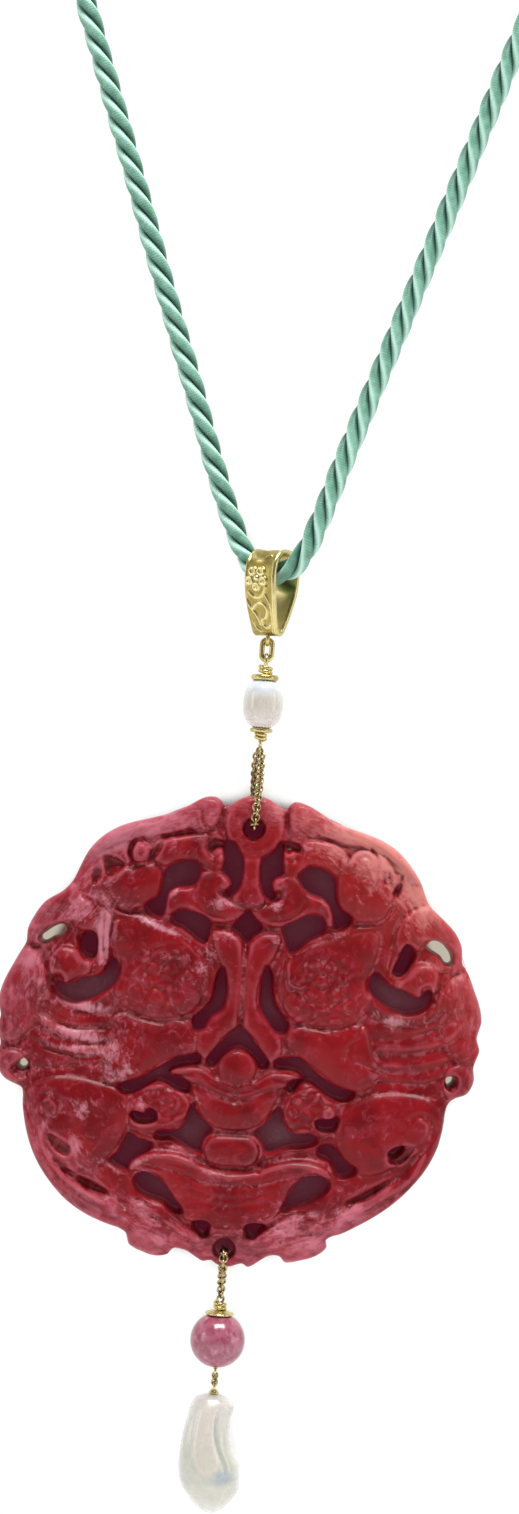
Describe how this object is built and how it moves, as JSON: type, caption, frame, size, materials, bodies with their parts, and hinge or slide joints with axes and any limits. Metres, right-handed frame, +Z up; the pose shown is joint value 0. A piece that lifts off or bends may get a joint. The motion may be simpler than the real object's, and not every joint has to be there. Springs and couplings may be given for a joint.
{
  "type": "jade pendant necklace",
  "caption": "Round pierced carved red stone pendant that hangs by a fine chain, a pearl and a gold bail from a twisted cord loop, with a pink bead and a long baroque pearl below.",
  "frame": {"origin": "underside of the clasp at the nape, where a neck or a peg carries the loop", "axes": "+Z up, the drop hangs along -Z; the carved front faces -Y; +X is to the viewer's right"},
  "size_m": [0.1042, 0.0102, 0.3398],
  "materials": {
    "cord": "twisted satin silk thread, seafoam green",
    "gold": "bright yellow gold plate",
    "chain": "pale gold wire",
    "jade": "polished carved stone, mottled red with pink-white veins",
    "pearl": "white nacre lustre",
    "pink_stone": "polished cloudy pink stone"
  },
  "bodies": {
    "necklace": {"cord": "cord", "clasp": "gold", "bail": "gold"},
    "link": {"oval_link": "gold"},
    "pearl_drop": {"pearl_pin": "gold", "pearl_cap_upper": "gold", "pearl": "pearl", "pearl_cap_lower": "gold", "upper_chain": "chain"},
    "stone": {"jade_carving": "jade", "lower_chain": "chain", "bead_pin": "gold", "bead_cap": "gold", "pink_bead": "pink_stone", "drop_chain": "chain", "baroque_pin": "gold", "baroque_pearl": "pearl"}
  },
  "joints": [
    {"name": "link_swing", "type": "hinge", "parent": "necklace", "child": "link", "pos_m": [0, 0, -0.2087], "axis": [0, 1, 0], "range_deg": [-75, 75]},
    {"name": "drop_swing", "type": "hinge", "parent": "link", "child": "pearl_drop", "pos_m": [0, 0, -0.21095], "axis": [-1, 0, 0], "range_deg": [0, 75]},
    {"name": "stone_turn", "type": "hinge", "parent": "pearl_drop", "child": "stone", "pos_m": [0, 0, -0.235], "axis": [0, 1, 0], "range_deg": [-35, 35]}
  ]
}
